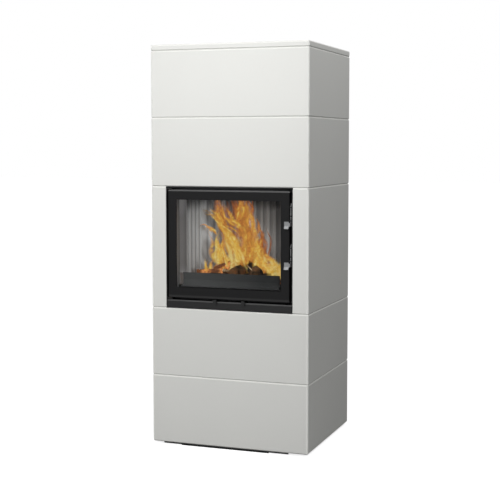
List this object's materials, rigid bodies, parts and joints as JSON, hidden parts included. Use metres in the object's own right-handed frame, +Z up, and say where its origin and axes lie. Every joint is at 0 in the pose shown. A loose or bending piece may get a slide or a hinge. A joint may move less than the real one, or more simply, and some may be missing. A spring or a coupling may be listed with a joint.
{
  "type": "stacked-ring wood stove",
  "caption": "Tall free-standing wood stove of stacked pale concrete rings with a glazed, latched steel door, air levers and rear flue outlet.",
  "frame": {"origin": "on the floor under the middle of the stove", "axes": "+X to the viewer's right when facing the door, +Y to the rear, +Z up"},
  "size_m": [0.62, 0.573, 1.51],
  "materials": {
    "concrete": "smooth, painted pale grey",
    "black_steel": "matt heat-resistant black",
    "raw_steel": "dark grey, matt",
    "zinc_steel": "zinc plated",
    "stainless": "brushed",
    "cast_iron": "cast, grey",
    "light_brick": "pressed, matt, slightly sooty",
    "heat_stone": "dense dark stone",
    "ceramic_glass": "clear",
    "fibre_rope": "graphite-grey glass-fibre rope",
    "brass": "turned"
  },
  "bodies": {
    "casing": {"ring_bottom": "concrete", "ring_lower": "concrete", "ring_door": "concrete", "ring_upper": "concrete", "ring_top": "concrete", "top_plate": "concrete", "top_outlet_cover": "concrete", "plinth_plate": "black_steel", "kick_strip": "black_steel", "convection_grille": "black_steel", "rear_air_grille": "black_steel", "insert_surround": "black_steel", "lower_strip": "black_steel", "front_plate": "black_steel", "hinge_brackets": "black_steel", "latch_keepers": "black_steel", "log_guard": "black_steel", "firebox_shell": "raw_steel", "hearth_support": "raw_steel", "air_divider": "raw_steel", "upper_baffle": "raw_steel", "flue_elbow": "raw_steel", "flue_rosette": "raw_steel", "air_intake_duct": "raw_steel", "firebox_stand": "raw_steel", "rear_heat_shield": "raw_steel", "shield_spacers": "raw_steel", "storage_shelf": "raw_steel", "ash_pan": "raw_steel", "levelling_feet": "zinc_steel", "ring_dowels": "zinc_steel", "hinge_pins": "zinc_steel", "grate": "cast_iron", "left_cheek": "cast_iron", "right_cheek": "cast_iron", "left_liner": "light_brick", "right_liner": "light_brick", "rear_liner": "light_brick", "hearth_bricks": "light_brick", "lower_baffle": "light_brick", "heat_storage_blocks": "heat_stone", "hinge_washers": "brass"},
    "door": {"door_frame": "black_steel", "door_glass": "ceramic_glass", "glass_tape": "fibre_rope", "glass_retainers": "raw_steel", "retainer_screws": "zinc_steel", "door_rope_seal": "fibre_rope", "latch_lugs": "black_steel"},
    "latch_upper": {"latch_rod_upper": "stainless", "latch_tab_upper": "stainless", "latch_hook_upper": "black_steel"},
    "latch_lower": {"latch_rod_lower": "stainless", "latch_tab_lower": "stainless", "latch_hook_lower": "black_steel"},
    "air_primary": {"air_lever_primary": "black_steel", "air_damper_primary": "black_steel"},
    "air_secondary": {"air_lever_secondary": "black_steel", "air_damper_secondary": "black_steel"}
  },
  "joints": [
    {"name": "door_hinge", "type": "hinge", "parent": "casing", "child": "door", "pos_m": [-0.2355, -0.2685, 0.7695], "axis": [0, 0, -1], "range_deg": [0, 110]},
    {"name": "latch_upper_turn", "type": "hinge", "parent": "door", "child": "latch_upper", "pos_m": [0.2413, -0.2695, 0.871], "axis": [0, 0, 1], "range_deg": [-12, 38]},
    {"name": "latch_lower_turn", "type": "hinge", "parent": "door", "child": "latch_lower", "pos_m": [0.2413, -0.2695, 0.723], "axis": [0, 0, 1], "range_deg": [-12, 38]},
    {"name": "air_primary_slide", "type": "slide", "parent": "casing", "child": "air_primary", "axis": [1, 0, 0], "range_m": [-0.022, 0.022]},
    {"name": "air_secondary_slide", "type": "slide", "parent": "casing", "child": "air_secondary", "axis": [1, 0, 0], "range_m": [-0.022, 0.022]}
  ]
}
